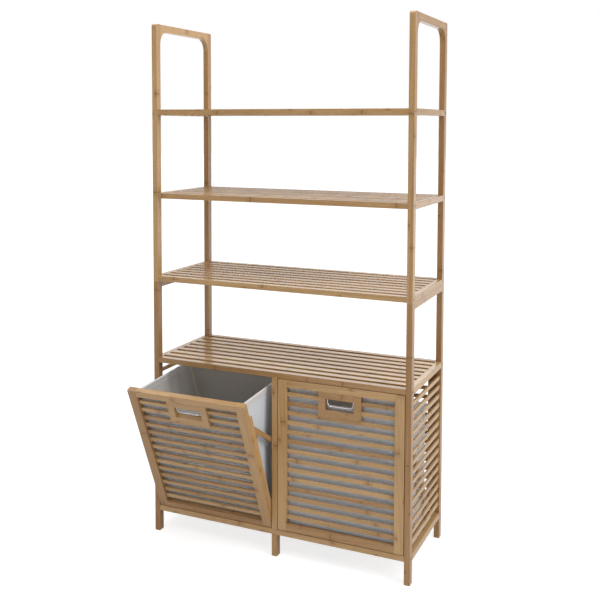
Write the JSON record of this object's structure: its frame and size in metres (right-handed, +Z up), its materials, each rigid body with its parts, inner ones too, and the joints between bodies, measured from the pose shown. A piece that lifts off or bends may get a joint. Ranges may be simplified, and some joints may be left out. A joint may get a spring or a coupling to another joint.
{
  "type": "laundry cabinet with shelves",
  "caption": "Bamboo laundry cabinet with tilt-out slatted doors that carry fabric bags, below an open tower of slatted shelves on plain legs.",
  "frame": {"origin": "centre of the bounding box on the floor, with the left bin tilted open and the right bin shut", "axes": "+X to the right as seen from the front, +Y to the back, +Z up; the doors face -Y"},
  "size_m": [0.826, 0.5014, 1.57],
  "materials": {
    "bamboo": "satin lacquered bamboo",
    "bag_fabric": "light grey woven cotton with white hems",
    "grip_wire": "polished chrome",
    "steel_rod": "plain drawn steel",
    "dark_fastener": "dark burnished steel"
  },
  "bodies": {
    "cabinet": {"left_front_lower_post": "bamboo", "left_front_upper_post": "bamboo", "left_rear_lower_post": "bamboo", "left_rear_upper_post": "bamboo", "left_top_arch": "bamboo", "left_shelf_1_side_rail": "bamboo", "left_shelf_2_side_rail": "bamboo", "left_shelf_3_side_rail": "bamboo", "left_seam_side_rail": "bamboo", "left_cabinet_top_side_rail": "bamboo", "left_base_side_rail": "bamboo", "left_side_slats": "bamboo", "left_back_panel": "bamboo", "right_front_lower_post": "bamboo", "right_front_upper_post": "bamboo", "right_rear_lower_post": "bamboo", "right_rear_upper_post": "bamboo", "right_top_arch": "bamboo", "right_shelf_1_side_rail": "bamboo", "right_shelf_2_side_rail": "bamboo", "right_shelf_3_side_rail": "bamboo", "right_seam_side_rail": "bamboo", "right_cabinet_top_side_rail": "bamboo", "right_base_side_rail": "bamboo", "right_side_slats": "bamboo", "right_back_panel": "bamboo", "shelf_1_rails": "bamboo", "shelf_1_slats": "bamboo", "shelf_2_rails": "bamboo", "shelf_2_slats": "bamboo", "shelf_3_rails": "bamboo", "shelf_3_slats": "bamboo", "cabinet_top_rails": "bamboo", "cabinet_top_slats": "bamboo", "base_rails": "bamboo", "front_centre_post": "bamboo", "rear_centre_post": "bamboo", "centre_legs": "bamboo", "frame_bolts": "dark_fastener", "rail_caps": "dark_fastener", "seam_dowels": "bamboo", "hinge_pins": "steel_rod"},
    "left_bin": {"left_door_stiles": "bamboo", "left_door_rails": "bamboo", "left_door_slats": "bamboo", "left_grip_frame": "bamboo", "left_grip_wire": "grip_wire", "left_bin_brackets": "bamboo", "left_bin_floor": "bamboo", "left_bag_hoop": "steel_rod", "left_bag": "bag_fabric"},
    "right_bin": {"right_door_stiles": "bamboo", "right_door_rails": "bamboo", "right_door_slats": "bamboo", "right_grip_frame": "bamboo", "right_grip_wire": "grip_wire", "right_bin_brackets": "bamboo", "right_bin_floor": "bamboo", "right_bag_hoop": "steel_rod", "right_bag": "bag_fabric"}
  },
  "joints": [
    {"name": "left_bin_tilt", "type": "hinge", "parent": "cabinet", "child": "left_bin", "pos_m": [-0.20225, -0.07327, 0.09147], "axis": [1, 0, 0], "range_deg": [-23, 0]},
    {"name": "right_bin_tilt", "type": "hinge", "parent": "cabinet", "child": "right_bin", "pos_m": [0.20225, -0.07327, 0.09147], "axis": [1, 0, 0], "range_deg": [0, 23]}
  ]
}
